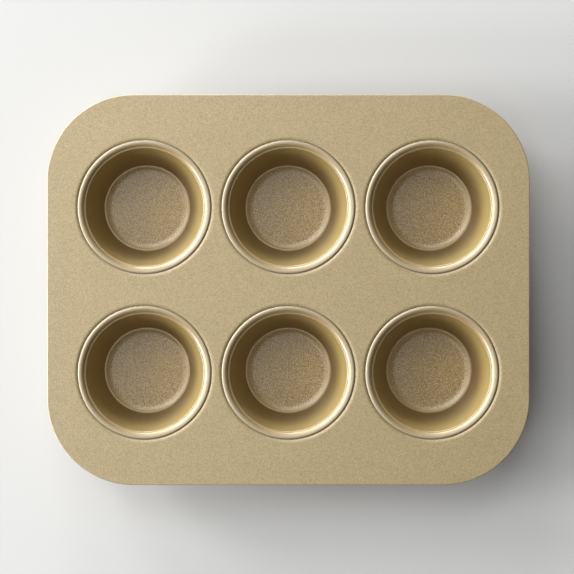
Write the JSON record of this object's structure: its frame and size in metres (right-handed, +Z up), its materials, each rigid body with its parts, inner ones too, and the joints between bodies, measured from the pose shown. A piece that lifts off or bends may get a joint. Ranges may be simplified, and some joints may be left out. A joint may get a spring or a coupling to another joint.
{
  "type": "muffin pan",
  "caption": "Rectangular baking pan with round tapered cups locked into a flat deck whose edge is rolled round a wire.",
  "frame": {"origin": "under the middle of the pan, on the surface that the cups stand on", "axes": "+X along the longer side, +Y towards the back, +Z up out of the cups' mouths"},
  "size_m": [0.283, 0.229, 0.0355],
  "materials": {
    "nonstick_coat": "satin metallic gold-beige coat with a fine grain",
    "wire_steel": "drawn bright"
  },
  "bodies": {
    "root": {"deck_plate": "nonstick_coat", "rim_wire": "wire_steel", "cup_back_left": "nonstick_coat", "cup_back_middle": "nonstick_coat", "cup_back_right": "nonstick_coat", "cup_front_left": "nonstick_coat", "cup_front_middle": "nonstick_coat", "cup_front_right": "nonstick_coat"}
  },
  "joints": []
}
